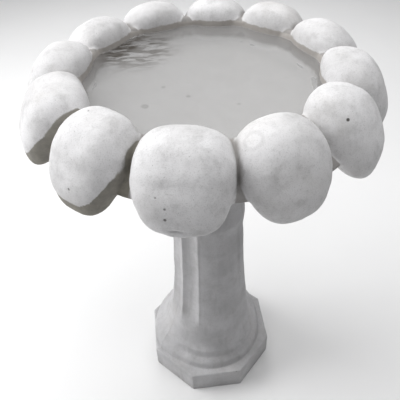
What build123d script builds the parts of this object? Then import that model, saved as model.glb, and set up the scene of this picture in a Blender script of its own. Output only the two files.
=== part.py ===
from build123d import *
from math import cos, pi
import os

# Cast-stone bird bath: a petalled bowl that stands loose on a fluted pedestal.
# Millimetres, +Z up. The origin is the middle of the plinth's underside, on the ground.
# The plinth has a flat side towards -Y, which is the front.

# ---- driving dimensions ----

# plinth
plinth_across_flats = 270.0
plinth_height = 62.0
plinth_corner_round = 6.0
plinth_edge_round = 3.0

# foot: two low round steps and a flare
outer_step_radius = 119.0
outer_step_top_z = 79.0
outer_step_round = 5.0
inner_step_radius = 102.0
tread_high_z = 86.0           # where the outer step's tread has climbed to the inner step
inner_step_top_z = 110.0
inner_step_round = 4.0
flare_middle_radius = 89.0
flare_middle_z = 142.0

# column
shaft_bottom_z = 225.0
shaft_bottom_radius = 81.5
shaft_top_z = 440.0
shaft_top_radius = 70.0
neck_radius = 72.0            # plain neck over the flutes
neck_z = 444.0
waist_radius = 67.5
waist_z = 505.0

# flutes, each cut by a long round-ended cone that leans with the shaft
flute_count = 12
flute_turn = -7.5             # degrees from the front to a flute: the plinth's corners meet an arris or a flute
flute_low_z = 178.0           # middle of the lower round end
flute_high_z = 426.0          # middle of the upper round end
flute_radius_ratio = 0.45     # cutter's radius over the shaft's radius
flute_reach_ratio = 1.351     # cutter's distance from the axis over the shaft's radius

# seat between pedestal and bowl
seat_z = 655.0
capital_radius = 106.0
capital_lip_z = 638.0
capital_round = 4.0
boss_top_radius = 48.0
boss_low_radius = 45.0
boss_height = 22.0
recess_gap = 2.5
recess_depth = 26.0

# bowl, without its petals
basin_radius = 175.0          # at the line where the water stands
water_z = 740.0
basin_floor_radius = 167.0
basin_edge_z = 712.0          # where the wall meets the floor
basin_middle_z = 699.0
rim_middle_radius = 195.0
rim_middle_z = 757.0
rim_outer_radius = 203.0
rim_outer_z = 753.0
crease_low_radius = 252.0     # outer end of the crease between two petals
crease_low_z = 706.0

# petals
petal_count = 12
petal_ring_radius = 223.0
petal_ring_z = 719.0
petal_radius = 67.0
petal_outer_bulge = 51.0
petal_inner_bulge = 24.0
petal_edge_radius = 10.0
petal_lean = 45.0             # degrees that a petal's face leans outwards from facing straight up
bowl_turn = -12.4             # degrees from the plinth's front to the middle of the front petal

# steel cast in the stone
hoop_radius = 212.0
hoop_z = 706.0
hoop_wire_radius = 3.0
floor_bar_length = 330.0
floor_bar_radius = 3.0
floor_bar_z = 672.0
floor_bar_rise = 6.5          # the second bar crosses over the first
core_bar_radius = 6.0
core_bar_low_z = 30.0
core_bar_high_z = 600.0

front = -90.0                 # degrees about Z of the -Y direction


# ---- helpers ----

def spin(outline):
    """Solid of revolution about Z from the closed outline of a half section in the XZ plane."""
    return revolve(Plane.XZ * make_face(outline), Axis.Z)


def around(count, first_angle):
    """Places about Z, evenly spread."""
    return [Rot(0, 0, first_angle + 360.0 / count * index) for index in range(count)]


def ring_edges(solid, radius, z):
    """The round edges of a turned solid that have this radius and this height."""
    rings = solid.edges().filter_by(GeomType.CIRCLE)
    return [edge for edge in rings if abs(edge.radius - radius) < 0.01 and abs(edge.arc_center.Z - z) < 0.01]


# ---- pedestal ----

def plinth():
    """Octagonal slab with eased corners and upper edges."""
    corner_radius = plinth_across_flats / 2 / cos(pi / 8)
    slab = extrude(Rot(0, 0, 22.5) * RegularPolygon(corner_radius, 8), plinth_height)
    slab = fillet(slab.edges().filter_by(Axis.Z), plinth_corner_round)
    return fillet(slab.edges().group_by(Axis.Z)[-1], plinth_edge_round)


def turned_column():
    """Everything round on the pedestal: steps, flare, shaft, neck and capital."""
    foot_z = plinth_height / 2
    outer_top = (outer_step_radius, outer_step_top_z)
    tread_end = (inner_step_radius, tread_high_z)
    inner_top = (inner_step_radius, inner_step_top_z)
    flare_middle = (flare_middle_radius, flare_middle_z)
    shaft_foot = (shaft_bottom_radius, shaft_bottom_z)
    shaft_head = (shaft_top_radius, shaft_top_z)
    neck = (neck_radius, neck_z)
    waist = (waist_radius, waist_z)
    capital_foot = (capital_radius - capital_round, capital_lip_z)
    shaft_fall = (shaft_bottom_radius - shaft_top_radius, shaft_bottom_z - shaft_top_z)

    upper_flare = TangentArc(shaft_foot, flare_middle, tangent=shaft_fall)
    lower_flare = TangentArc(flare_middle, inner_top, tangent=upper_flare % 1)
    outline = [
        Polyline((0, foot_z), (outer_step_radius, foot_z), outer_top, tread_end, inner_top),
        lower_flare,
        upper_flare,
        Polyline(shaft_foot, shaft_head, neck),
        TangentArc(waist, neck, tangent=(0, -1)),
        TangentArc(waist, capital_foot, tangent=(0, 1)),
        Polyline(capital_foot, (capital_radius, capital_lip_z), (capital_radius, seat_z), (0, seat_z),
                 (0, foot_z)),
    ]
    column = spin(outline)
    column = fillet(ring_edges(column, outer_step_radius, outer_step_top_z), outer_step_round)
    column = fillet(ring_edges(column, inner_step_radius, inner_step_top_z), inner_step_round)
    lip_edges = ring_edges(column, capital_radius, capital_lip_z) + ring_edges(column, capital_radius, seat_z)
    return fillet(lip_edges, capital_round - 0.5)


def flute_cutter():
    """Round-ended cone that cuts one flute on the +X side and leans with the shaft."""
    slope = (shaft_bottom_radius - shaft_top_radius) / (shaft_top_z - shaft_bottom_z)
    low_radius = shaft_bottom_radius + slope * (shaft_bottom_z - flute_low_z)
    high_radius = shaft_bottom_radius - slope * (flute_high_z - shaft_bottom_z)
    low_end = Vector(low_radius * flute_reach_ratio, 0, flute_low_z)
    high_end = Vector(high_radius * flute_reach_ratio, 0, flute_high_z)
    low_ball = low_radius * flute_radius_ratio
    high_ball = high_radius * flute_radius_ratio
    length = (high_end - low_end).length
    cone = Cone(low_ball, high_ball, length, align=(Align.CENTER, Align.CENTER, Align.MIN))
    leaning = Plane(origin=low_end, x_dir=(0, 1, 0), z_dir=high_end - low_end)
    return leaning * cone + Pos(low_end) * Sphere(low_ball) + Pos(high_end) * Sphere(high_ball)


def boss_recess():
    """Blind hole in the capital that the bowl's boss drops into."""
    widening = recess_gap + boss_top_radius - boss_low_radius
    hole = Cone(boss_low_radius + recess_gap, boss_low_radius + widening, recess_depth,
                align=(Align.CENTER, Align.CENTER, Align.MAX))
    return Pos(0, 0, seat_z) * hole


def pedestal():
    """Plinth, foot, fluted column and capital, in one casting."""
    casting = plinth() + turned_column()
    cutter = flute_cutter()
    for turn in around(flute_count, front + flute_turn):
        casting -= turn * cutter
    return casting - boss_recess() - pedestal_core_bar()


def pedestal_core_bar():
    """Steel bar in the middle of the pedestal."""
    bar = Cylinder(core_bar_radius, core_bar_high_z - core_bar_low_z,
                   align=(Align.CENTER, Align.CENTER, Align.MIN))
    return Pos(0, 0, core_bar_low_z) * bar


# ---- bowl ----

def bowl_body():
    """Thick dish under the petals, before the basin is hollowed out of it."""
    rim_middle = (rim_middle_radius, rim_middle_z)
    rim_outer = (rim_outer_radius, rim_outer_z)
    crease_low = (crease_low_radius, crease_low_z)
    seat_edge = (capital_radius - capital_round, seat_z)
    outline = [
        Line((0, rim_middle_z), rim_middle),
        TangentArc(rim_middle, rim_outer, tangent=(1, 0)),
        Line(rim_outer, crease_low),
        TangentArc(seat_edge, crease_low, tangent=(1, 0)),
        Polyline(seat_edge, (0, seat_z), (0, rim_middle_z)),
    ]
    return spin(outline)


def basin_hollow():
    """What the basin holds, and the air over it: dished floor and a steep wall that goes on past the petals."""
    floor_edge = (basin_floor_radius, basin_edge_z)
    wall_slope = (basin_radius - basin_floor_radius) / (water_z - basin_edge_z)
    sky_z = petal_ring_z + petal_radius + petal_outer_bulge
    sky = (basin_radius + wall_slope * (sky_z - water_z), sky_z)
    outline = [
        TangentArc((0, basin_middle_z), floor_edge, tangent=(1, 0)),
        Polyline(floor_edge, sky, (0, sky_z), (0, basin_middle_z)),
    ]
    return spin(outline)


def dome_arc(bulge, side):
    """Shallow arc of a petal's section, from the petal's middle line out to its round edge."""
    edge_ring = petal_radius - petal_edge_radius
    rise = bulge - petal_edge_radius
    centre_drop = (edge_ring ** 2 - rise ** 2) / (2 * rise)
    dome_radius = bulge + centre_drop
    outwards = Vector(edge_ring, centre_drop).normalized()
    half_way = (outwards + Vector(0, 1)).normalized() * dome_radius
    meet = outwards * dome_radius
    return ThreePointArc((0, side * bulge), (half_way.X, side * (half_way.Y - centre_drop)),
                         (meet.X, side * (meet.Y - centre_drop)))


def petal():
    """Boulder-like petal on the +X side: it bulges outwards and up, and its lower lip overhangs."""
    outer_dome = dome_arc(petal_outer_bulge, 1)
    inner_dome = dome_arc(petal_inner_bulge, -1)
    edge = ThreePointArc(outer_dome @ 1, (petal_radius, 0), inner_dome @ 1)
    middle_line = Line((0, -petal_inner_bulge), (0, petal_outer_bulge))
    lens = spin([outer_dome, edge, inner_dome, middle_line])
    return Pos(petal_ring_radius, 0, petal_ring_z) * Rot(0, petal_lean, 0) * lens


def boss():
    """Tapered boss under the bowl, which keeps it in the middle of the pedestal."""
    cone = Cone(boss_low_radius, boss_top_radius, boss_height,
                align=(Align.CENTER, Align.CENTER, Align.MAX))
    return Pos(0, 0, seat_z) * cone


def bowl():
    """Body, petals and boss, in one casting."""
    one_petal = petal()
    petals = [turn * one_petal for turn in around(petal_count, front + bowl_turn)]
    casting = bowl_body() + petals + boss() - basin_hollow()
    for steel in [bowl_rim_hoop()] + floor_bars():
        casting -= steel
    return casting


def bowl_rim_hoop():
    """Steel wire hoop in the bowl's rim."""
    return Pos(0, 0, hoop_z) * Torus(hoop_radius, hoop_wire_radius)


def floor_bars():
    """Two steel wires that cross in the bowl's floor, one over the other."""
    bar = Rot(0, 90, 0) * Cylinder(floor_bar_radius, floor_bar_length)
    upper_z = floor_bar_z + floor_bar_rise
    turn = front + bowl_turn
    return [Pos(0, 0, floor_bar_z) * Rot(0, 0, turn) * bar, Pos(0, 0, upper_z) * Rot(0, 0, turn + 90) * bar]


# ---- output ----

sub_parts = {
    "pedestal": pedestal(),
    "pedestal_core_bar": pedestal_core_bar(),
    "bowl": bowl(),
    "bowl_rim_hoop": bowl_rim_hoop(),
    "bowl_floor_bars": Compound(children=floor_bars()),
}

os.makedirs("parts", exist_ok=True)
for node, shape in sub_parts.items():
    export_step(shape, f"parts/{node}.step")
    print(node, "volume", round(shape.volume), "box", shape.bounding_box())
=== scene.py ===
import math

import bpy
import numpy as np
from mathutils import Matrix, Vector, noise


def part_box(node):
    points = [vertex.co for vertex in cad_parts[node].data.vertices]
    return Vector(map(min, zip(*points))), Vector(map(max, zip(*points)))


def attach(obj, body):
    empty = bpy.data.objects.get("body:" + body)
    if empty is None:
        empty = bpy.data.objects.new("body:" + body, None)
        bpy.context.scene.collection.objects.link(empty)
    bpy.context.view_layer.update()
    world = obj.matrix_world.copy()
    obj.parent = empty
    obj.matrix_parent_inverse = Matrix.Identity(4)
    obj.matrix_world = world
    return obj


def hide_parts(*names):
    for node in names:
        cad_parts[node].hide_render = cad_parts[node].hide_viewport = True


# Cast-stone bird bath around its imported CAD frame: the bowl, the pedestal and the water.
# Metres. Angles about Z are in degrees and grow counter-clockwise from above; -90 is the plinth's front.
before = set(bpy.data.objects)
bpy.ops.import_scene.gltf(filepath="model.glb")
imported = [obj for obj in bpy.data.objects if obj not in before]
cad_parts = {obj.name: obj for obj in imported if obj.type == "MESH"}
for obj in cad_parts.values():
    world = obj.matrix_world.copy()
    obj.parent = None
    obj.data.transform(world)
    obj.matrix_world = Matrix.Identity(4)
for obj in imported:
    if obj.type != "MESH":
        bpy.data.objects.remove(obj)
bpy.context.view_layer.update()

# ---- places taken from the frame ----

bowl_low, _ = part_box("bowl")
pedestal_low, pedestal_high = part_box("pedestal")
SEAT_Z = pedestal_high.z         # the bowl rests on the capital at this height
BOSS_LOW_Z = bowl_low.z
PLINTH_APOTHEM = (pedestal_high.x - pedestal_low.x) / 2
WATER_Z = SEAT_Z + 0.085

FRONT = -90.0
PETALS = 12
BOWL_TURN = -12.4                # the bowl stands turned by this much on the pedestal
PETAL_STEP = 360.0 / PETALS


# ---- shape helpers ----

SEED_SHIFT = Vector((7.31, 3.17, 5.53))      # moves each seed's noise to a place of its own


def smooth_step(low, high, value):
    """0 below low, 1 above high, and a soft S between."""
    t = np.clip((value - low) / (high - low), 0.0, 1.0)
    return t * t * (3.0 - 2.0 * t)


def within(starts, full, ends, gone, value):
    """0 below starts and above gone, 1 from full to ends, and a soft S between."""
    return smooth_step(starts, full, value) * (1 - smooth_step(ends, gone, value))


def soft_max(a, b, width):
    """The larger of two fields, with the corner between them rounded."""
    share = np.clip(0.5 + 0.5 * (a - b) / width, 0.0, 1.0)
    return b + (a - b) * share + width * share * (1.0 - share)


def soft_min(a, b, width):
    """The smaller of two fields, with the corner between them rounded."""
    return -soft_max(-a, -b, width)


def curve_through(knots, x):
    """Value at x of a smooth curve through (x, value) knots. It stays level beyond its ends."""
    knot_x, knot_y = (np.array(column, float) for column in zip(*knots))
    slope = np.gradient(knot_y, knot_x)
    x = np.clip(x, knot_x[0], knot_x[-1])
    i = np.clip(np.searchsorted(knot_x, x) - 1, 0, len(knot_x) - 2)
    span = knot_x[i + 1] - knot_x[i]
    t = (x - knot_x[i]) / span
    near = (1 + 2 * t) * (1 - t) ** 2 * knot_y[i] + t * (1 - t) ** 2 * span * slope[i]
    far = t * t * (3 - 2 * t) * knot_y[i + 1] + t * t * (t - 1) * span * slope[i + 1]
    return near + far


def lumps(points, size, seed):
    """Smooth noise from about -1 to 1 at each point, with bumps of the given size."""
    shift = SEED_SHIFT * seed
    values = [noise.noise(Vector(point) + shift) for point in points.reshape(-1, 3) / size]
    return np.array(values).reshape(points.shape[:-1])


def show(thing):
    """Puts an object into the scene."""
    bpy.context.scene.collection.objects.link(thing)


def ring(radii, thetas, heights):
    """A row of points round Z."""
    heights = np.broadcast_to(heights, thetas.shape)
    return np.stack([radii * np.cos(thetas), radii * np.sin(thetas), heights], -1)


def ring_mesh(name, rows, first_middle, last_middle):
    """Closed mesh from rows of points round Z. One middle point closes each end."""
    count = rows[0].shape[0]
    faces = []
    for i in range(len(rows) - 1):
        for j in range(count):
            k = (j + 1) % count
            faces.append((i * count + j, (i + 1) * count + j, (i + 1) * count + k, i * count + k))
    points = [tuple(point) for row in rows for point in row] + [first_middle, last_middle]
    last = (len(rows) - 1) * count
    faces += [(len(points) - 2, j, (j + 1) % count) for j in range(count)]
    faces += [(len(points) - 1, last + (j + 1) % count, last + j) for j in range(count)]
    mesh = bpy.data.meshes.new(name)
    mesh.from_pydata(points, [], faces)
    mesh.validate()
    mesh.polygons.foreach_set("use_smooth", [True] * len(mesh.polygons))
    piece = bpy.data.objects.new(name, mesh)
    show(piece)
    return piece


def mesh_points(piece):
    """All vertices of a piece as an array."""
    values = np.empty(len(piece.data.vertices) * 3)
    piece.data.vertices.foreach_get("co", values)
    return values.reshape(-1, 3)


def mesh_normals(piece):
    """All vertex normals of a piece as an array."""
    values = np.empty(len(piece.data.vertices) * 3)
    piece.data.vertex_normals.foreach_get("vector", values)
    return values.reshape(-1, 3)


def move_to(piece, points):
    """Moves all vertices of a piece to new places."""
    piece.data.vertices.foreach_set("co", points.ravel())
    piece.data.update()


def roughen(piece, heights):
    """Moves each vertex along its normal."""
    move_to(piece, mesh_points(piece) + mesh_normals(piece) * heights[:, None])


def store(piece, name, values):
    """Keeps one number for each vertex of a piece, for its material to read."""
    layer = piece.data.attributes.new(name, "FLOAT", "POINT")
    layer.data.foreach_set("value", np.asarray(values, np.float32).ravel())


# ---- bowl ----

FLOOR_EDGE_RADIUS = 0.167
FLOOR_EDGE_Z = WATER_Z - 0.028
FLOOR_MIDDLE_Z = WATER_Z - 0.041
WALL_RADIUS = 0.182              # the basin's wall between the petals, at the water
WALL_SLOPE = 0.25                # outwards for each metre up
RIM_TOP_Z = WATER_Z + 0.012
# the dish's top slopes down outwards between the petals through these two points: radius and height
CREASE_HIGH = (0.203, WATER_Z + 0.009)
CREASE_LOW = (0.262, WATER_Z - 0.041)
UNDERSIDE_RADIUS = 0.2600        # of the arc that the dish's underside follows
SEAT_EDGE_RADIUS = 0.102
RIM_ROUNDING = 0.008             # how wide the dish's corners are rounded: at its rim,
UNDERSIDE_ROUNDING = 0.006       # where the rim meets the underside,
FLOOR_ROUNDING = 0.014           # and where the basin's wall meets its floor
SEAT_FADE = (0.106, 0.130)       # the underside is true within these radii and uneven beyond them
# the seat and the boss under it, as radius and height
BOSS_PROFILE = [(0.0750, SEAT_Z), (0.0500, SEAT_Z), (0.0480, SEAT_Z - 0.0005), (0.0475, SEAT_Z - 0.003),
                (0.0455, BOSS_LOW_Z + 0.002), (0.0435, BOSS_LOW_Z), (0.0200, BOSS_LOW_Z)]

PETAL_CORE = (0.223, WATER_Z - 0.021)        # radius and height
# a petal's middle profile, seen from its core: degrees up from straight outwards, and reach
PETAL_REACH = [(-110, 0.022), (-80, 0.030), (-62, 0.052), (-45, 0.0675), (-28, 0.0615), (-10, 0.0545),
               (8, 0.0490), (25, 0.0465), (42, 0.0475), (60, 0.0502), (78, 0.0545), (95, 0.0582),
               (112, 0.0622), (130, 0.0650), (141, 0.0610), (150, 0.0560), (160, 0.0520), (175, 0.0500),
               (190, 0.0500), (215, 0.0420), (250, 0.0220)]
# and its half width in the same directions
PETAL_HALF_WIDTH = [(-110, 0.030), (-50, 0.053), (10, 0.0588), (70, 0.0590), (165, 0.061)]
LOWEST_WAY = PETAL_REACH[0][0]
PETAL_MEAN_REACH = 0.05          # turns a share of a petal's reach into metres
PETAL_JOIN = 0.003               # how wide the crease between two petals is rounded
CREASE_CROWDING = 0.4            # how much closer together the mesh's columns are at the creases
GAP_REACH = 0.010                # how far the dirt and painted shade in a gap reach out onto its petals
DISH_EDGE = 0.006                # the dish shows fully this far outside the nearest petal

# petals that are not like the rest: turn in degrees, outwards, up, width, size, flatness
# (flatness 2 gives a round cross-section; more is flatter on top and steeper at the sides)
PETAL_WAYS = {
    0: (0.0, 0.0005, 0.000, 1.07, 1.00, 2.80),
    1: (1.0, 0.0015, 0.000, 1.03, 1.00, 2.50),
    2: (1.0, 0.0015, 0.000, 0.90, 1.02, 2.45),
    3: (0.0, 0.0000, 0.000, 1.00, 1.015, 2.45),
    4: (0.0, 0.0000, 0.000, 1.02, 1.01, 2.45),
    5: (0.5, -0.001, 0.000, 1.00, 0.99, 2.45),
    6: (-0.5, 0.000, 0.000, 0.99, 0.98, 2.45),
    9: (0.0, 0.0005, 0.002, 0.97, 1.01, 2.45),
    10: (-0.8, 0.0015, 0.0025, 0.965, 0.99, 2.95),
    11: (-0.7, 0.003, 0.000, 0.915, 1.02, 2.90),
}
AS_THE_REST = (0.0, 0.0, 0.0, 1.0, 1.0, 2.45)


def in_petal(x, y, z, index):
    """Position from a petal's core: outwards, sideways and up, and the degrees up from straight outwards."""
    turn, outwards, up = PETAL_WAYS.get(index, AS_THE_REST)[:3]
    angle = math.radians(FRONT + BOWL_TURN + PETAL_STEP * index + turn)
    out = x * math.cos(angle) + y * math.sin(angle) - PETAL_CORE[0] - outwards
    side = y * math.cos(angle) - x * math.sin(angle)
    rise = z - PETAL_CORE[1] - up
    way = (np.degrees(np.arctan2(rise, out)) - LOWEST_WAY) % 360.0 + LOWEST_WAY
    return out, side, rise, way


def petal_field(x, y, z, index):
    """Below 0 inside one petal."""
    width, size, flatness = PETAL_WAYS.get(index, AS_THE_REST)[3:]
    out, side, rise, way = in_petal(x, y, z, index)
    reach = curve_through(PETAL_REACH, way) * size
    half_width = curve_through(PETAL_HALF_WIDTH, way) * width
    level = (np.hypot(out, rise) / reach) ** flatness + (np.abs(side) / half_width) ** flatness
    return (level ** (1.0 / flatness) - 1.0) * PETAL_MEAN_REACH


def dish_underside(r):
    """Height of the dish's underside beyond the seat."""
    return SEAT_Z + UNDERSIDE_RADIUS - np.sqrt(UNDERSIDE_RADIUS ** 2 - (r - SEAT_EDGE_RADIUS) ** 2)


def floor_height(r):
    """Height of the basin's dished floor."""
    return FLOOR_MIDDLE_Z + (FLOOR_EDGE_Z - FLOOR_MIDDLE_Z) * (r / FLOOR_EDGE_RADIUS) ** 2


def dish_field(r, z):
    """Below 0 inside the thick dish that carries the petals."""
    run = math.hypot(CREASE_LOW[0] - CREASE_HIGH[0], CREASE_LOW[1] - CREASE_HIGH[1])
    normal_r = (CREASE_HIGH[1] - CREASE_LOW[1]) / run
    normal_z = (CREASE_LOW[0] - CREASE_HIGH[0]) / run
    crease = (r - CREASE_HIGH[0]) * normal_r + (z - CREASE_HIGH[1]) * normal_z
    under = np.hypot(r - SEAT_EDGE_RADIUS, z - SEAT_Z - UNDERSIDE_RADIUS) - UNDERSIDE_RADIUS
    under = np.where(r > SEAT_EDGE_RADIUS, under, SEAT_Z - z)
    solid = soft_max(soft_max(crease, z - RIM_TOP_Z, RIM_ROUNDING), under, UNDERSIDE_ROUNDING)
    wall = WALL_RADIUS + (z - WATER_Z) * WALL_SLOPE - r
    hollow = soft_min(wall, z - floor_height(r), FLOOR_ROUNDING)
    return soft_max(solid, hollow, RIM_ROUNDING)


def bowl_field(r, z, theta):
    """Below 0 inside the bowl."""
    x, y = r * np.cos(theta), r * np.sin(theta)
    solid = dish_field(r, z)
    for index in range(PETALS):
        solid = soft_min(solid, petal_field(x, y, z, index), PETAL_JOIN)
    return solid


def crease_spread_angles(count):
    """Directions round Z in radians, closer together at the creases between petals."""
    per_petal = count // PETALS
    even = (np.arange(per_petal) + 0.5) / per_petal * 2 - 1
    bent = even * (1 - CREASE_CROWDING) + CREASE_CROWDING * np.sin(even * math.pi / 2)
    return np.concatenate([np.radians(FRONT + BOWL_TURN + PETAL_STEP * (index + bent / 2))
                           for index in range(PETALS)])


# rays that find the rim's skin, from the floor over the petals to the underside:
# where each starts inside the stone (radius, height over the water), and its degrees up from outwards
RIM_RAYS = [(0.158, -0.040, 90), (0.176, -0.040, 105), (0.192, -0.036, 140), (0.200, -0.028, 163),
            (0.206, -0.020, 160), (0.212, -0.018, 140), (0.216, -0.018, 115), (0.218, -0.018, 90),
            (0.222, -0.020, 60), (0.226, -0.024, 30), (0.228, -0.028, 0), (0.231, -0.032, -25),
            (0.232, -0.034, -42), (0.232, -0.035, -60), (0.230, -0.037, -80), (0.226, -0.039, -95),
            (0.215, -0.043, -80), (0.190, -0.052, -72), (0.160, -0.062, -75)]
RAY_STEP = 0.0015
RAY_LENGTH = 0.075
HALVINGS = 10                    # of the last step, to close in on the skin


def cast(keys, thetas):
    """Radius and height of the rim's skin where the rays meet it: one row for each key."""
    places = np.arange(len(RIM_RAYS))
    start_r, start_z, way = (np.interp(keys, places, column)[:, None] for column in zip(*RIM_RAYS))
    start_z = start_z + WATER_Z
    way = np.radians(way)
    theta = np.broadcast_to(thetas, (len(keys), len(thetas)))
    near = np.zeros(theta.shape)
    inside = np.ones(theta.shape, bool)
    for reach in np.arange(RAY_STEP, RAY_LENGTH, RAY_STEP):
        inside &= bowl_field(start_r + reach * np.cos(way), start_z + reach * np.sin(way), theta) < 0
        near = np.where(inside, reach, near)
    far = near + RAY_STEP
    for _ in range(HALVINGS):
        middle = (near + far) / 2
        hit = bowl_field(start_r + middle * np.cos(way), start_z + middle * np.sin(way), theta) < 0
        near = np.where(hit, middle, near)
        far = np.where(hit, far, middle)
    return start_r + near * np.cos(way), start_z + near * np.sin(way)


def even_keys(count):
    """Ray keys that put the rows evenly along the skin, at a petal's middle and at a crease together."""
    fine = np.linspace(0, len(RIM_RAYS) - 1, 400)
    start = math.radians(FRONT + BOWL_TURN)
    r, z = cast(fine, np.array([start, start + math.radians(PETAL_STEP / 2)]))
    length = np.hypot(np.diff(r, axis=0), np.diff(z, axis=0)).max(axis=1) + 1e-5
    along = np.concatenate([[0], np.cumsum(length)])
    return np.interp(np.linspace(0, along[-1], count), along, fine)


# a lump with a crack across it under the front petal: place, half size, and height or depth
CHIP = (-0.062, -0.266, WATER_Z - 0.066)
CHIP_SIZE = (0.013, 0.020, 0.008)
CHIP_HEIGHT = 0.0018
CRACK = (-0.063, -0.270, WATER_Z - 0.057)
CRACK_SIZE = (0.009, 0.010, 0.0024)
CRACK_DEPTH = 0.0034
# hand-cast hollows and bumps: height, size and seed
STONE_LUMPS = [(0.0016, 0.060, 3), (0.0007, 0.022, 5), (0.0003, 0.008, 8)]


def front_chip(points):
    """Height of the chipped lower edge of the front petal."""
    lump = np.exp(-np.sum(((points - np.array(CHIP)) / np.array(CHIP_SIZE)) ** 4, axis=-1))
    crack = np.exp(-np.sum(((points - np.array(CRACK)) / np.array(CRACK_SIZE)) ** 2, axis=-1))
    return CHIP_HEIGHT * lump - CRACK_DEPTH * crack


def stone_unevenness(points):
    """Height of the hand-cast hollows and bumps at each point."""
    return sum(height * lumps(points, size, seed) for height, size, seed in STONE_LUMPS)


def build_bowl():
    """The whole bowl as one closed skin, from the middle of its floor to the middle of its boss."""
    around_count, row_count = ((600, 122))
    thetas = crease_spread_angles(around_count)
    floor_radii = FLOOR_EDGE_RADIUS * np.linspace(0.03, 0.90, 14)
    rows = [ring(radius, thetas, floor_height(radius)) for radius in floor_radii]
    rows += [ring(radii, thetas, heights) for radii, heights in zip(*cast(even_keys(row_count), thetas))]
    under_radii = np.linspace(0.150, SEAT_EDGE_RADIUS, 6)
    rows += [ring(radius, thetas, dish_underside(radius)) for radius in under_radii]
    rows += [ring(radius, thetas, height) for radius, height in BOSS_PROFILE]
    piece = ring_mesh("bowl_casting", rows, (0, 0, FLOOR_MIDDLE_Z), (0, 0, BOSS_LOW_Z))
    points = mesh_points(piece)
    radius = np.hypot(points[:, 0], points[:, 1])
    off_the_seat = smooth_step(*SEAT_FADE, radius) + (points[:, 2] > SEAT_Z + 0.02)
    roughen(piece, front_chip(points) + stone_unevenness(points) * np.clip(off_the_seat, 0, 1))
    return piece


def crease_share(points):
    """1 in the gaps between petals and 0 out on a petal's face."""
    x, y, z = points.T
    nearest, second, *_ = np.sort([petal_field(x, y, z, index) for index in range(PETALS)], axis=0)
    between_two = np.exp((nearest - second) / GAP_REACH)
    dish_shows = smooth_step(0.0, DISH_EDGE, nearest)
    return np.clip(between_two + dish_shows, 0, 1)


bowl_piece = build_bowl()
store(bowl_piece, "gap", crease_share(mesh_points(bowl_piece)))
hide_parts("bowl")
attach(bowl_piece, "bowl")


# ---- pedestal ----

PLINTH_HEIGHT = 0.062
PLINTH_CORNER = 0.006            # rounding of the octagon's corners,
PLINTH_EDGE = 0.0035             # of its upper edge,
PLINTH_LOW_EDGE = 0.0012         # and the chamfer on its lower one
# the shaft's middle, as height and radius
SHAFT = [(0.205, 0.0850), (0.225, 0.0820), (0.262, 0.0788), (0.300, 0.0762), (0.345, 0.0738),
         (0.380, 0.0722), (0.440, 0.0705), (0.455, 0.0715)]
FLUTES = 12
FLUTE_TURN = -7.5                # from the front to a flute
FLUTE_FADE = (0.150, 0.222)      # heights between which the flutes run out into the foot
FLUTE_HIGH_Z = 0.446             # middle of their round upper ends
FLUTE_RADIUS = 0.68              # of the round cutter that a flute follows, over the shaft's radius
FLUTE_REACH = 1.60               # of the cutter's middle, over the shaft's radius
SEAM_WAYS = (-157.5, 22.5)       # the mould's two halves meet here
SEAM_HEIGHT = 0.0006
SEAM_HALF_WIDTH = 0.6            # degrees
WORN_FLUTES = 0.80               # how much of the flutes' depth is lost on the front and right
# the wear comes between the first two of these ways round and goes between the others
WORN_WAYS = (-119.0, -105.0, 25.0, 45.0)
ARRIS_ROUNDING = 0.012           # of the edges between flutes, over the shaft's radius
SHAFT_OFFSET = 0.0026            # the cast shaft is a little off the axis
SHAFT_OFFSET_Z = (0.11, 0.24, 0.48, 0.62)    # heights over which its offset,
UNEVEN_Z = (0.0005, 0.008, 0.640, 0.653)     # the stone's unevenness,
SEAM_Z = (0.002, 0.010, 0.640, 0.648)        # and the mould's seams, come and go
SEAM_MIN_RADIUS = 0.06           # the recess has no seam
COLUMN_UNEVENNESS = 0.7          # of the bowl's
RECESS_RADIUS = 0.0505
RECESS_DEPTH = 0.026
RECESS_ROUNDING = 0.002

# the round foot's profile above the plinth, as radius and height
FOOT_PROFILE = [(0.1222, 0.0620), (0.1204, 0.0642), (0.1190, 0.0685), (0.1172, 0.0745), (0.1142, 0.0783),
                (0.1100, 0.0812), (0.1060, 0.0838), (0.1044, 0.0868), (0.1037, 0.0905), (0.1034, 0.1020),
                (0.1026, 0.1055), (0.1004, 0.1085), (0.0972, 0.1150), (0.0938, 0.1265), (0.0908, 0.1410),
                (0.0884, 0.1580), (0.0866, 0.1760), (0.0852, 0.1930), (0.0838, 0.2100)]
# where its steps are filled up: which point above it stands in for, radius and height
FILLED_FOOT = [(0, 0.1330, 0.0620), (1, 0.1327, 0.0670), (3, 0.1305, 0.0780), (6, 0.1229, 0.0936),
               (9, 0.1121, 0.1088), (12, 0.1013, 0.1271), (15, 0.0911, 0.1595), (18, 0.0838, 0.2100)]
STEPPED_WAYS = (-164.0, -126.0, 0.0, 38.0)   # the steps come, are crisp between the middle two, and go
# the column's neck and capital, as radius and height
NECK_PROFILE = [(0.0715, 0.4600), (0.0700, 0.4750), (0.0680, 0.5050), (0.0690, 0.5350), (0.0730, 0.5680),
                (0.0800, 0.5980), (0.0900, 0.6220), (0.1000, 0.6360), (0.1045, 0.6390), (0.1058, 0.6420),
                (0.1060, 0.6460), (0.1058, 0.6510), (0.1045, 0.6540), (0.1010, 0.6550)]


def octagon(thetas, apothem, corner):
    """Radius of an octagon with rounded corners in each direction."""
    half = math.pi / 8
    off = np.abs((thetas - math.radians(FRONT) + half) % (2 * half) - half)
    reach = (apothem - corner) / math.cos(half)
    flat_end = math.atan((apothem - corner) * math.tan(half) / apothem)
    beta = half - off
    rounded = reach * np.cos(beta) + np.sqrt(np.maximum(corner ** 2 - (reach * np.sin(beta)) ** 2, 0))
    return np.where(off < flat_end, apothem / np.cos(off), rounded)


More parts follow.
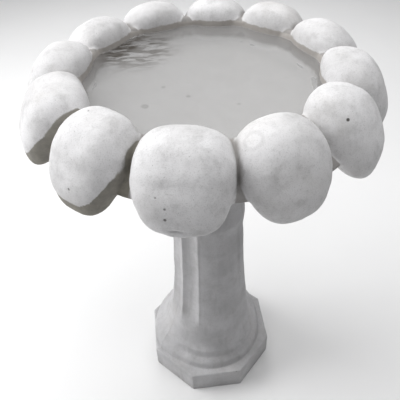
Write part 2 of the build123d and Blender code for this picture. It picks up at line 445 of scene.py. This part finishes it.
def way_round(thetas):
    """Degrees round Z from -240 to 120, so that the front and the two sides are in one run."""
    return (np.degrees(thetas) + 240.0) % 360.0 - 240.0


def flute_share(thetas, z, shaft_radius):
    """Radius over the shaft's radius: 1 on an arris and less in a flute."""
    step = 2 * math.pi / FLUTES
    off = (thetas - math.radians(FRONT + FLUTE_TURN) + step / 2) % step - step / 2
    beyond = np.maximum(z - FLUTE_HIGH_Z, 0) / shaft_radius
    under_root = np.maximum(FLUTE_RADIUS ** 2 - beyond ** 2, 0) - (FLUTE_REACH * np.sin(off)) ** 2
    cut = FLUTE_REACH * np.cos(off) - np.sqrt(np.maximum(under_root, 0))
    uncut = np.ones_like(cut)
    cut = soft_min(np.where(under_root > 0, cut, uncut + ARRIS_ROUNDING), uncut, ARRIS_ROUNDING)
    worn = WORN_FLUTES * within(*WORN_WAYS, way_round(thetas))
    return 1 - (1 - cut) * (1 - worn) * smooth_step(*FLUTE_FADE, z)


def filled_share(thetas):
    """0 where the foot has two crisp steps and 1 where they are filled up."""
    return 1 - within(*STEPPED_WAYS, way_round(thetas))


def pedestal_angles():
    """Directions round Z in radians: even, with more at the mould seams."""
    base = np.linspace(-180, 180, 468, endpoint=False)
    extra = [way + off for way in SEAM_WAYS for off in np.linspace(-1.2, 1.2, 9)]
    return np.radians(np.unique(np.round(np.concatenate([base, extra]), 3)))


def evenly_along(profile, count):
    """The columns of a profile of straight lines, at places spread evenly over its points."""
    places = np.linspace(0, len(profile) - 1, count)
    return [np.interp(places, range(len(profile)), column) for column in zip(*profile)]


def plinth_rows(thetas):
    """The octagonal plinth: its underside, its sides and its rounded upper edge."""
    plinth = octagon(thetas, PLINTH_APOTHEM, PLINTH_CORNER)
    rows = [(plinth * share, 0.0) for share in (0.1, 0.4, 0.7, 0.93)]
    rows.append((octagon(thetas, PLINTH_APOTHEM - PLINTH_LOW_EDGE, PLINTH_CORNER), 0.0))
    rows.append((plinth, PLINTH_LOW_EDGE))
    rows += [(plinth, height) for height in np.linspace(0.006, PLINTH_HEIGHT - PLINTH_EDGE, 14)]
    for turn in np.radians((18, 36, 54, 72, 90)):
        inset = PLINTH_EDGE * (1 - math.cos(turn))
        height = PLINTH_HEIGHT - PLINTH_EDGE * (1 - math.sin(turn))
        rows.append((octagon(thetas, PLINTH_APOTHEM - inset, PLINTH_CORNER), height))
    return rows


def foot_rows(thetas):
    """The round foot on the plinth: two steps and a hollow, filled up at the back and the left."""
    count = 70
    places = np.linspace(0, len(FOOT_PROFILE) - 1, count)
    point, *filled_columns = zip(*FILLED_FOOT)
    filled = [curve_through(list(zip(point, column)), places) for column in filled_columns]
    share = filled_share(thetas)
    radii, heights = (a[:, None] + (b - a)[:, None] * share
                      for a, b in zip(evenly_along(FOOT_PROFILE, count), filled))
    return list(zip(radii, heights))


def pedestal_rows(thetas):
    """Radii and height of each row, from the plinth's underside to the floor of the recess."""
    rows = plinth_rows(thetas)
    edge = rows[-1][0]
    foot = foot_rows(thetas)
    rows += [(edge + (foot[0][0] - edge) * share, PLINTH_HEIGHT) for share in np.linspace(0.15, 0.85, 5)]
    shaft = [(curve_through(SHAFT, height), height) for height in np.linspace(0.214, 0.456, 56)]
    rows += [(radius * flute_share(thetas, height, radius), height) for radius, height in foot + shaft]
    rows += zip(*evenly_along(NECK_PROFILE, 40))
    rows += [(radius, SEAT_Z) for radius in (0.085, 0.065, RECESS_RADIUS + RECESS_ROUNDING)]
    recess_floor = SEAT_Z - RECESS_DEPTH
    rows += [(RECESS_RADIUS, SEAT_Z - RECESS_ROUNDING), (RECESS_RADIUS, recess_floor + RECESS_ROUNDING),
             (RECESS_RADIUS - RECESS_ROUNDING, recess_floor), (0.020, recess_floor)]
    return rows


def mould_seams(points):
    """Height of the two seams that the mould left, at each point."""
    x, y, z = points.T
    way = np.degrees(np.arctan2(y, x))
    seam = sum(np.exp(-(((way - at + 180) % 360 - 180) / SEAM_HALF_WIDTH) ** 2) for at in SEAM_WAYS)
    on_outside = np.hypot(x, y) > SEAM_MIN_RADIUS
    return SEAM_HEIGHT * seam * within(*SEAM_Z, z) * on_outside


def build_pedestal():
    """Plinth, foot, fluted column and capital as one closed skin, with the recess for the boss."""
    thetas = pedestal_angles()
    rows = [ring(radii, thetas, height) for radii, height in pedestal_rows(thetas)]
    piece = ring_mesh("pedestal_casting", rows[::-1], (0, 0, SEAT_Z - RECESS_DEPTH), (0, 0, 0))
    points = mesh_points(piece)
    z = points[:, 2]
    points[:, 0] += SHAFT_OFFSET * within(*SHAFT_OFFSET_Z, z)
    move_to(piece, points)
    uneven = COLUMN_UNEVENNESS * within(*UNEVEN_Z, z) * stone_unevenness(points)
    roughen(piece, uneven + mould_seams(points))
    return piece


pedestal_piece = build_pedestal()
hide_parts("pedestal")
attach(pedestal_piece, "pedestal")


# ---- water ----

WATER_OVERLAP = 0.0015           # how far the water goes into the stone, so that no gap shows
MENISCUS_RISE = 0.0009           # how far the water climbs the stone at its edge
RIPPLE_WAY = math.radians(136.0)     # a breeze ruffles the water here
RIPPLE_RADIUS = 0.142
RIPPLE_MIDDLE = (RIPPLE_RADIUS * math.cos(RIPPLE_WAY), RIPPLE_RADIUS * math.sin(RIPPLE_WAY), WATER_Z)
RIPPLE_FADE = (0.030, 0.075)     # they die out between these distances from their middle
RIPPLE_STRETCH = 0.30            # X is shortened by this for the noise, so that they lie along X
RIPPLES = [(0.0007, 0.0048, 21), (0.0009, 0.010, 22)]       # height, size and seed
CALM_WATER = [(0.00012, 0.020, 23)]
BASIN_SEARCH = (0.140, 0.200)    # the basin's wall is between these radii
BASIN_HALVINGS = 16


def basin_radius(z, thetas):
    """How far out the basin reaches at one height, and a little into the stone."""
    near, far = (np.full(thetas.shape, radius) for radius in BASIN_SEARCH)
    for _ in range(BASIN_HALVINGS):
        middle = (near + far) / 2
        in_stone = bowl_field(middle, z, thetas) < 0
        near = np.where(in_stone, near, middle)
        far = np.where(in_stone, middle, far)
    return near + WATER_OVERLAP


def ripples(points):
    """Height of the water's surface over its level at each point."""
    x, y = points[:, 0], points[:, 1]
    away = np.hypot(x - RIPPLE_MIDDLE[0], y - RIPPLE_MIDDLE[1])
    stretched = np.stack([x * RIPPLE_STRETCH, y, np.zeros_like(x)], -1)
    ruffled, calm = (sum(height * lumps(stretched, size, seed) for height, size, seed in waves)
                     for waves in (RIPPLES, CALM_WATER))
    return ruffled * (1 - smooth_step(*RIPPLE_FADE, away)) + calm


def build_water():
    """The water as one closed body that fills the basin."""
    around_count, share_count = ((480, 90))
    thetas = np.linspace(0, 2 * math.pi, around_count, endpoint=False)
    surface_edge = basin_radius(WATER_Z, thetas)
    rows = [ring(surface_edge * share, thetas, WATER_Z) for share in np.linspace(0.02, 0.985, share_count)]
    stone_edge = surface_edge - WATER_OVERLAP
    rows.append(ring(stone_edge - 0.0008, thetas, WATER_Z + MENISCUS_RISE / 3))
    rows.append(ring(stone_edge, thetas, WATER_Z + MENISCUS_RISE))
    rows.append(ring(surface_edge, thetas, WATER_Z + MENISCUS_RISE))
    for height in (WATER_Z - depth for depth in (0.004, 0.010, 0.016, 0.021)):
        rows.append(ring(basin_radius(height, thetas), thetas, height))
    for radius in (0.168, 0.160, 0.145, 0.120, 0.090, 0.055, 0.020):
        rows.append(ring(radius, thetas, floor_height(radius) - WATER_OVERLAP))
    piece = ring_mesh("water", rows, (0, 0, WATER_Z), (0, 0, FLOOR_MIDDLE_Z - WATER_OVERLAP))
    points = mesh_points(piece)
    on_top = np.abs(points[:, 2] - WATER_Z) < 1e-4
    off_the_edge = smooth_step(0.172, 0.160, np.hypot(points[:, 0], points[:, 1]))
    points[:, 2] += ripples(points) * on_top * off_the_edge
    move_to(piece, points)
    return piece


water_piece = build_water()
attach(water_piece, "bowl")


# ---- materials ----

def add(tree, kind, sockets=None, **options):
    """Adds a node with its options, and sets or links its input sockets."""
    made = tree.nodes.new(kind)
    for name, value in options.items():
        setattr(made, name, value)
    for key, value in (sockets or {}).items():
        if isinstance(value, bpy.types.NodeSocket):
            tree.links.new(value, made.inputs[key])
        else:
            made.inputs[key].default_value = value
    return made


def calc(tree, operation, a, b=0.0):
    """One step of arithmetic."""
    return add(tree, "ShaderNodeMath", {0: a, 1: b}, operation=operation).outputs[0]


def between(tree, value, low, high):
    """0 at low, 1 at high, with a soft S between."""
    step = add(tree, "ShaderNodeMapRange", {0: value, 1: low, 2: high}, interpolation_type="SMOOTHSTEP")
    return step.outputs[0]


def cloud(tree, coords, scale, detail=3.0, roughness=0.55, distortion=0.0):
    """Noise from 0 to 1."""
    sockets = {"Vector": coords, "Scale": scale, "Detail": detail, "Roughness": roughness,
               "Distortion": distortion}
    return add(tree, "ShaderNodeTexNoise", sockets).outputs[0]


def tint(tree, share, a, b):
    """Colour a where share is 0 and b where it is 1."""
    made = add(tree, "ShaderNodeMix", data_type="RGBA", clamp_factor=True)
    for socket, value in ((made.inputs[0], share), (made.inputs[6], a), (made.inputs[7], b)):
        if isinstance(value, bpy.types.NodeSocket):
            tree.links.new(value, socket)
        else:
            socket.default_value = value
    return made.outputs[2]


def over(tree, colour, mask, strength, top):
    """A second colour laid over the first where a mask is 1."""
    return tint(tree, calc(tree, "MULTIPLY", mask, strength), colour, top)


def ragged(tree, value, uneven, amount):
    """A value with some noise added, so that what it bounds has an uneven edge."""
    return calc(tree, "ADD", value, calc(tree, "MULTIPLY", uneven, amount))


def distance_to(tree, coords, place):
    """How far each point is from a place."""
    return add(tree, "ShaderNodeVectorMath", {0: coords, 1: place}, operation="DISTANCE").outputs["Value"]


def stretched_by(tree, coords, factors):
    """Coordinates with each axis multiplied."""
    return add(tree, "ShaderNodeVectorMath", {0: coords, 1: factors}, operation="MULTIPLY").outputs[0]


def attribute(tree, name):
    """A number stored on the mesh."""
    return add(tree, "ShaderNodeAttribute", attribute_name=name).outputs["Fac"]


def grey(value, warmth=0.0):
    """A grey, warmer or cooler than neutral."""
    return (value * (1 + warmth), value, value * (1 - warmth), 1.0)


def new_material(name):
    """An empty material with its tree, its shader and its object coordinates."""
    material = bpy.data.materials.new(name)
    material.use_nodes = True
    tree = material.node_tree
    return material, tree, tree.nodes["Principled BSDF"], add(tree, "ShaderNodeTexCoord").outputs["Object"]


def pinholes(tree, coords, scale, size, rarity, seed):
    """1 in scattered small round holes."""
    moved = add(tree, "ShaderNodeVectorMath", {0: coords, 1: (seed, seed, seed)}, operation="ADD").outputs[0]
    cells = add(tree, "ShaderNodeTexVoronoi", {"Vector": moved, "Scale": scale})
    chance = add(tree, "ShaderNodeSeparateColor", {0: cells.outputs["Color"]}).outputs[0]
    hole = between(tree, cells.outputs["Distance"], size, size * 0.6)
    return calc(tree, "MULTIPLY", hole, calc(tree, "GREATER_THAN", chance, rarity))


def weathered_stone(tree, coords, light, dark):
    """Colour of dry cast stone, and its bump height."""
    broad = cloud(tree, coords, 14.0, 5.0, 0.6)
    patchy = cloud(tree, coords, 46.0, 6.0, 0.70)
    sandy = cloud(tree, coords, 620.0, 3.0, 0.7)
    spotty = cloud(tree, coords, 210.0, 4.0, 0.75)
    warm = cloud(tree, coords, 9.0, 4.0, 0.6)
    colour = tint(tree, between(tree, broad, 0.35, 0.68), light, dark)
    colour = over(tree, colour, between(tree, patchy, 0.44, 0.74), 0.42, grey(0.36, 0.012))
    colour = over(tree, colour, between(tree, sandy, 0.50, 0.72), 0.30, grey(0.22, 0.04))
    colour = over(tree, colour, between(tree, spotty, 0.58, 0.72), 0.22, grey(0.26, 0.05))
    colour = over(tree, colour, between(tree, warm, 0.50, 0.75), 0.16, (0.56, 0.53, 0.48, 1.0))
    large = pinholes(tree, coords, 55.0, 0.075, 0.93, 0.3)
    small = pinholes(tree, coords, 170.0, 0.11, 0.90, 0.7)
    holes = calc(tree, "MAXIMUM", large, calc(tree, "MULTIPLY", small, 0.7))
    colour = over(tree, colour, holes, 0.75, grey(0.10, 0.06))
    height = ragged(tree, calc(tree, "MULTIPLY", patchy, 0.9), sandy, 0.30)
    return colour, calc(tree, "SUBTRACT", height, holes)


def finish_stone(tree, shader, colour, height, roughness):
    """Links a stone's colour, roughness and bump to its shader."""
    bump = add(tree, "ShaderNodeBump", {"Strength": 0.55, "Distance": 0.0012, "Height": height})
    tree.links.new(bump.outputs[0], shader.inputs["Normal"])
    tree.links.new(colour, shader.inputs["Base Color"])
    tree.links.new(roughness, shader.inputs["Roughness"])
    shader.inputs["Specular IOR Level"].default_value = 0.3


# single large pinholes on the front petals: place, radius, darkness
PINHOLES = [
    ((0.157, -0.185, WATER_Z + 0.021), 0.0028, 0.95),
    ((-0.074, -0.265, WATER_Z - 0.022), 0.0022, 0.7),
    ((-0.075, -0.268, WATER_Z - 0.036), 0.0024, 0.8),
    ((-0.083, -0.257, WATER_Z - 0.011), 0.0018, 0.6),
    ((-0.187, -0.209, WATER_Z - 0.027), 0.0024, 0.7),
]
# dark specks lying on the basin's floor: x, y, radius, darkness
SPECKS = [
    (-0.091, -0.019, 0.0070, 0.45),
    (-0.023, 0.009, 0.0060, 0.40),
    (-0.004, -0.097, 0.0070, 0.50),
    (-0.060, 0.040, 0.0050, 0.35),
    (0.052, -0.030, 0.0050, 0.30),
]
# the mark that something round left on a front petal
RING_STAIN = (0.033, -0.219, WATER_Z + 0.029)
RING_STAIN_RADIUS = 0.012
TIDE_Z = WATER_Z + 0.009         # the stain on the basin's wall reaches up to here
BASIN_LOW_Z = WATER_Z - 0.050    # below this is the bowl's underside
SILT_Z = WATER_Z - 0.017         # pale silt covers the stone below here


def with_pinholes(tree, coords, colour, height):
    """The stone's colour and height with its single large pinholes."""
    for place, radius, darkness in PINHOLES:
        hole = between(tree, distance_to(tree, coords, place), radius, radius * 0.5)
        colour = over(tree, colour, hole, darkness, grey(0.07, 0.08))
        height = calc(tree, "SUBTRACT", height, hole)
    return colour, height


def with_dirt_and_painted_shade(tree, coords, colour, uneven):
    """The stone's colour with dirt and painted shade in the gaps, and algae and painted shade under the
    petals and on the sides of some.
    """
    in_gap = between(tree, ragged(tree, attribute(tree, "gap"), uneven, 0.5), 0.45, 0.95)
    # painted shade and dirt: the creases between the petals and the dish showing between them are darkened
    colour = over(tree, colour, in_gap, 0.72, grey(0.16, 0.09))
    # painted shade and algae: the petals' undersides and the front-facing sides of petals 9 to 11 are
    # darkened
    dirt_and_shade = between(tree, ragged(tree, attribute(tree, "dirt_and_shade"), uneven, 0.7), 0.40, 0.62)
    algae_and_shade_tone = tint(tree, cloud(tree, coords, 90.0, 4.0, 0.6), grey(0.08, 0.10), (0.33, 0.31, 0.25, 1.0))
    return over(tree, colour, dirt_and_shade, 0.88, algae_and_shade_tone)


def with_ring_stain(tree, coords, colour, uneven):
    """The stone's colour with the faint round mark."""
    away = ragged(tree, distance_to(tree, coords, RING_STAIN), uneven, 0.012)
    off_line = calc(tree, "ABSOLUTE", calc(tree, "SUBTRACT", away, RING_STAIN_RADIUS))
    return over(tree, colour, between(tree, off_line, 0.004, 0.0005), 0.15, grey(0.22, 0.03))


def with_wet_basin(tree, coords, colour, uneven):
    """The stone's colour with the basin's stains and painted shade on its wall under the water, and 1 where
    the basin is stained.
    """
    x, y, z = add(tree, "ShaderNodeSeparateXYZ", {0: coords}).outputs
    radius = calc(tree, "SQRT", calc(tree, "ADD", calc(tree, "MULTIPLY", x, x), calc(tree, "MULTIPLY", y, y)))
    inside = calc(tree, "MULTIPLY", between(tree, radius, 0.200, 0.194),
                  between(tree, z, BASIN_LOW_Z - 0.002, BASIN_LOW_Z + 0.002))
    under_tide = between(tree, ragged(tree, z, uneven, 0.012), TIDE_Z + 0.001, TIDE_Z - 0.0012)
    stained = calc(tree, "MULTIPLY", inside, under_tide)
    stain_and_shade = tint(tree, cloud(tree, coords, 120.0, 4.0, 0.6), grey(0.30, 0.08), grey(0.46, 0.05))
    # painted shade and wet dirt: from the waterline down to the silt, the wall is painted near-black
    stain_and_shade = tint(tree, between(tree, z, WATER_Z + 0.0012, WATER_Z - 0.0012), stain_and_shade, grey(0.13, 0.12))
    silty = between(tree, ragged(tree, z, uneven, 0.008), SILT_Z + 0.004, SILT_Z - 0.004)
    silt = tint(tree, cloud(tree, coords, 30.0, 5.0), grey(0.48, 0.015), grey(0.56, 0.010))
    colour = tint(tree, stained, colour, tint(tree, silty, stain_and_shade, silt))
    for speck_x, speck_y, size, darkness in SPECKS:
        place = (speck_x, speck_y, floor_height(math.hypot(speck_x, speck_y)))
        away = ragged(tree, distance_to(tree, coords, place), uneven, 0.010)
        colour = over(tree, colour, between(tree, away, size, size * 0.4), darkness, grey(0.10, 0.10))
    return colour, stained


def bowl_stone():
    """Cast stone, darkened with dirt and painted shade in the gaps and under the petals, stained at the
    waterline, with painted shade on the wall under the water.
    """
    material, tree, shader, coords = new_material("bowl_stone")
    colour, height = weathered_stone(tree, coords, (0.750, 0.745, 0.752, 1.0), (0.620, 0.614, 0.616, 1.0))
    uneven = calc(tree, "SUBTRACT", cloud(tree, coords, 45.0, 5.0, 0.65), 0.5)
    colour = with_dirt_and_painted_shade(tree, coords, colour, uneven)
    colour, height = with_pinholes(tree, coords, colour, height)
    colour = with_ring_stain(tree, coords, colour, uneven)
    colour, stained = with_wet_basin(tree, coords, colour, uneven)
    roughness = calc(tree, "SUBTRACT", 0.86, calc(tree, "MULTIPLY", stained, 0.40))
    finish_stone(tree, shader, colour, height, roughness)
    return material


def pedestal_stone():
    """Cast stone, greyer than the bowl, darker near the ground."""
    material, tree, shader, coords = new_material("pedestal_stone")
    colour, height = weathered_stone(tree, coords, (0.545, 0.542, 0.552, 1.0), (0.445, 0.442, 0.450, 1.0))
    z = add(tree, "ShaderNodeSeparateXYZ", {0: coords}).outputs[2]
    splashed = ragged(tree, z, cloud(tree, coords, 30.0, 5.0, 0.65), 0.05)
    colour = over(tree, colour, between(tree, splashed, 0.060, 0.026), 0.22, grey(0.20, 0.05))
    drawn_down = stretched_by(tree, coords, (1.0, 1.0, 0.12))
    streaks = between(tree, cloud(tree, drawn_down, 60.0, 4.0, 0.6), 0.50, 0.75)
    colour = over(tree, colour, streaks, 0.25, grey(0.24, 0.02))
    finish_stone(tree, shader, colour, height, ragged(tree, 0.80, streaks, 0.12))
    return material


def water_material():
    """Slightly milky water with a darker ruffled patch."""
    material, tree, shader, coords = new_material("water")
    along_ripples = stretched_by(tree, coords, (RIPPLE_STRETCH, 1.0, 1.0))
    wisps = between(tree, cloud(tree, along_ripples, 110.0, 4.0, 0.6, 0.4), 0.44, 0.55)
    near_ripples = between(tree, distance_to(tree, coords, RIPPLE_MIDDLE), 0.095, 0.030)
    milky = tint(tree, cloud(tree, coords, 12.0, 3.0), grey(0.53, 0.002), grey(0.47, 0.006))
    tree.links.new(over(tree, milky, near_ripples, wisps, grey(0.10, 0.12)), shader.inputs["Base Color"])
    shader.inputs["Roughness"].default_value = 0.06
    shader.inputs["IOR"].default_value = 1.33
    shader.inputs["Specular IOR Level"].default_value = 1.0
    shader.inputs["Alpha"].default_value = 0.40
    return material


def cast_in_steel():
    """Mill scale and rust on the steel inside the stone."""
    material, tree, shader, coords = new_material("cast_in_steel")
    rust = cloud(tree, coords, 160.0, 5.0, 0.7)
    colour = tint(tree, between(tree, rust, 0.45, 0.6), grey(0.16, 0.02), (0.24, 0.11, 0.05, 1.0))
    tree.links.new(colour, shader.inputs["Base Color"])
    tree.links.new(ragged(tree, 0.35, rust, 0.5), shader.inputs["Roughness"])
    bump = add(tree, "ShaderNodeBump", {"Strength": 0.4, "Distance": 0.0004, "Height": rust})
    tree.links.new(bump.outputs[0], shader.inputs["Normal"])
    shader.inputs["Metallic"].default_value = 0.8
    return material


# where the clean lit face of a petal ends and its dirt and painted shade begin: degrees up from straight
# outwards, and distance from its middle line
CLEAN_LIT_FACE = [(-40, 0.000), (-29, 0.016), (-20, 0.034), (-10, 0.0425), (3, 0.0480), (26, 0.0525),
              (60, 0.0535), (90, 0.0525), (120, 0.0490), (150, 0.0450)]
# petals whose sides towards the front are darkened with dirt and painted shade, and how much
SHADED_DIRTY_SIDES = {9: 0.45, 10: 0.9, 11: 1.0}
UNDERSIDE_DIRT_AND_SHADE = 0.55            # dirt and painted shade under the petals with clean sides
LOW_EDGE_WAY = -27.0             # where the underside's dirt and painted shade begin on petals with dark sides,
CLEAN_LOW_EDGE_WAY = -52.0       # and on the others
SHADE_AND_DIRT_EDGE = 0.004               # half the width of the edge of the dirt and painted shade beside the clean face,
SHADE_AND_DIRT_EDGE_WAY = 8.0             # and below it, in degrees
SHADE_AND_DIRT_STARTS = (0.190, 0.205)    # no dirt or painted shade within these radii, where the basin is


def dirt_and_shade_share(points):
    """1 on the sides and undersides of the petals that are darkened with dirt and painted shade."""
    from_first = np.degrees(np.arctan2(points[:, 1], points[:, 0])) - FRONT - BOWL_TURN
    nearest = np.round(from_first / PETAL_STEP).astype(int) % PETALS
    shade_and_dirt = np.zeros(len(points))
    for index in range(PETALS):
        mine = nearest == index
        _, side, _, way = in_petal(*points[mine].T, index)
        side_dirt_and_shade = SHADED_DIRTY_SIDES.get(index, 0.0)
        low_edge = LOW_EDGE_WAY if side_dirt_and_shade else CLEAN_LOW_EDGE_WAY
        limit = np.interp(way, *zip(*CLEAN_LIT_FACE))
        beside = smooth_step(-SHADE_AND_DIRT_EDGE, SHADE_AND_DIRT_EDGE, side - limit) * side_dirt_and_shade
        above = smooth_step(-SHADE_AND_DIRT_EDGE_WAY, SHADE_AND_DIRT_EDGE_WAY, way - low_edge)
        below = (1 - above) * max(side_dirt_and_shade, UNDERSIDE_DIRT_AND_SHADE)
        shade_and_dirt[mine] = np.maximum(beside, below)
    return shade_and_dirt * smooth_step(*SHADE_AND_DIRT_STARTS, np.hypot(points[:, 0], points[:, 1]))


store(bowl_piece, "dirt_and_shade", dirt_and_shade_share(mesh_points(bowl_piece)))
bowl_piece.data.materials.append(bowl_stone())
pedestal_piece.data.materials.append(pedestal_stone())
water_piece.data.materials.append(water_material())
steel = cast_in_steel()
for node in ("pedestal_core_bar", "bowl_rim_hoop", "bowl_floor_bars"):
    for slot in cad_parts[node].material_slots:
        slot.material = steel


# ---- camera and light ----

CAMERA_LENS = 42.04
CAMERA_PLACE = (0.0, -0.64855, 1.079575)
CAMERA_WAY = math.radians(-5.9)      # it is then turned this far round from the plinth's front
CAMERA_PITCH, CAMERA_YAW, CAMERA_ROLL = 0.746, -0.0174, -0.0392      # radians
FLOOR_HALF = 12.0
SKY_COLOUR = (0.96, 0.96, 1.0, 1.0)
SKY_STRENGTH = 0.11
# soft boxes: place, aim, width, power in watts
SOFT_BOXES = {
    "top": ((0.0, 0.4, 3.6), (0.0, 0.4, 0.5), 4.0, 104),
    "left_high": ((-1.9, 0.5, 1.9), (0.0, 0.0, 0.5), 1.3, 34),
    "left_low": ((-2.1, -0.2, 0.75), (0.0, 0.0, 0.4), 1.1, 12),
    "back": ((0.1, 2.1, 1.9), (0.0, 0.0, 0.6), 1.4, 13),
    "right": ((1.7, -0.9, 2.3), (0.0, 0.0, 0.75), 1.2, 7),
}


def place_camera():
    """The camera, looking down on the bath from a little above its rim."""
    optics = bpy.data.cameras.new("camera")
    optics.lens = CAMERA_LENS
    optics.sensor_width = 36.0
    optics.clip_start = 0.05
    camera = bpy.data.objects.new("camera", optics)
    show(camera)
    level_reach = math.cos(CAMERA_PITCH)
    forward = Vector((math.sin(CAMERA_YAW) * level_reach, math.cos(CAMERA_YAW) * level_reach,
                      -math.sin(CAMERA_PITCH)))
    level = Vector((math.cos(CAMERA_YAW), -math.sin(CAMERA_YAW), 0.0))
    upward = level.cross(forward)
    right = math.cos(CAMERA_ROLL) * level + math.sin(CAMERA_ROLL) * upward
    top = math.cos(CAMERA_ROLL) * upward - math.sin(CAMERA_ROLL) * level
    pose = Matrix((right, top, -forward)).transposed().to_4x4()
    pose.translation = Vector(CAMERA_PLACE)
    camera.matrix_world = Matrix.Rotation(CAMERA_WAY, 4, "Z") @ pose
    bpy.context.scene.camera = camera


def build_floor():
    """A wide near-white floor."""
    corners = [(x * FLOOR_HALF, y * FLOOR_HALF, 0) for x, y in ((-1, -1), (1, -1), (1, 1), (-1, 1))]
    mesh = bpy.data.meshes.new("floor")
    mesh.from_pydata(corners, [], [(0, 1, 2, 3)])
    floor = bpy.data.objects.new("floor", mesh)
    show(floor)
    paint, tree, shader, coords = new_material("floor")
    tree.links.new(tint(tree, cloud(tree, coords, 3.0), grey(0.84), grey(0.87)), shader.inputs["Base Color"])
    shader.inputs["Roughness"].default_value = 0.9
    floor.data.materials.append(paint)
    return floor


def light_sky():
    """An even, faint sky."""
    world = bpy.data.worlds.new("sky")
    bpy.context.scene.world = world
    world.use_nodes = True
    background = world.node_tree.nodes["Background"]
    background.inputs["Color"].default_value = SKY_COLOUR
    background.inputs["Strength"].default_value = SKY_STRENGTH


def add_soft_box(name, place, aim, width, power):
    """A square lamp aimed at a point."""
    light = bpy.data.lights.new(name, "AREA")
    light.energy = power
    light.size = width
    lamp = bpy.data.objects.new(name, light)
    show(lamp)
    lamp.visible_glossy = name != "back"      # its edge would show in the water
    lamp.location = place
    lamp.rotation_euler = (Vector(aim) - lamp.location).to_track_quat("-Z", "Y").to_euler()


place_camera()
floor = build_floor()
light_sky()
for name, settings in SOFT_BOXES.items():
    add_soft_box(name, *settings)
bpy.context.scene.view_settings.view_transform = "Standard"
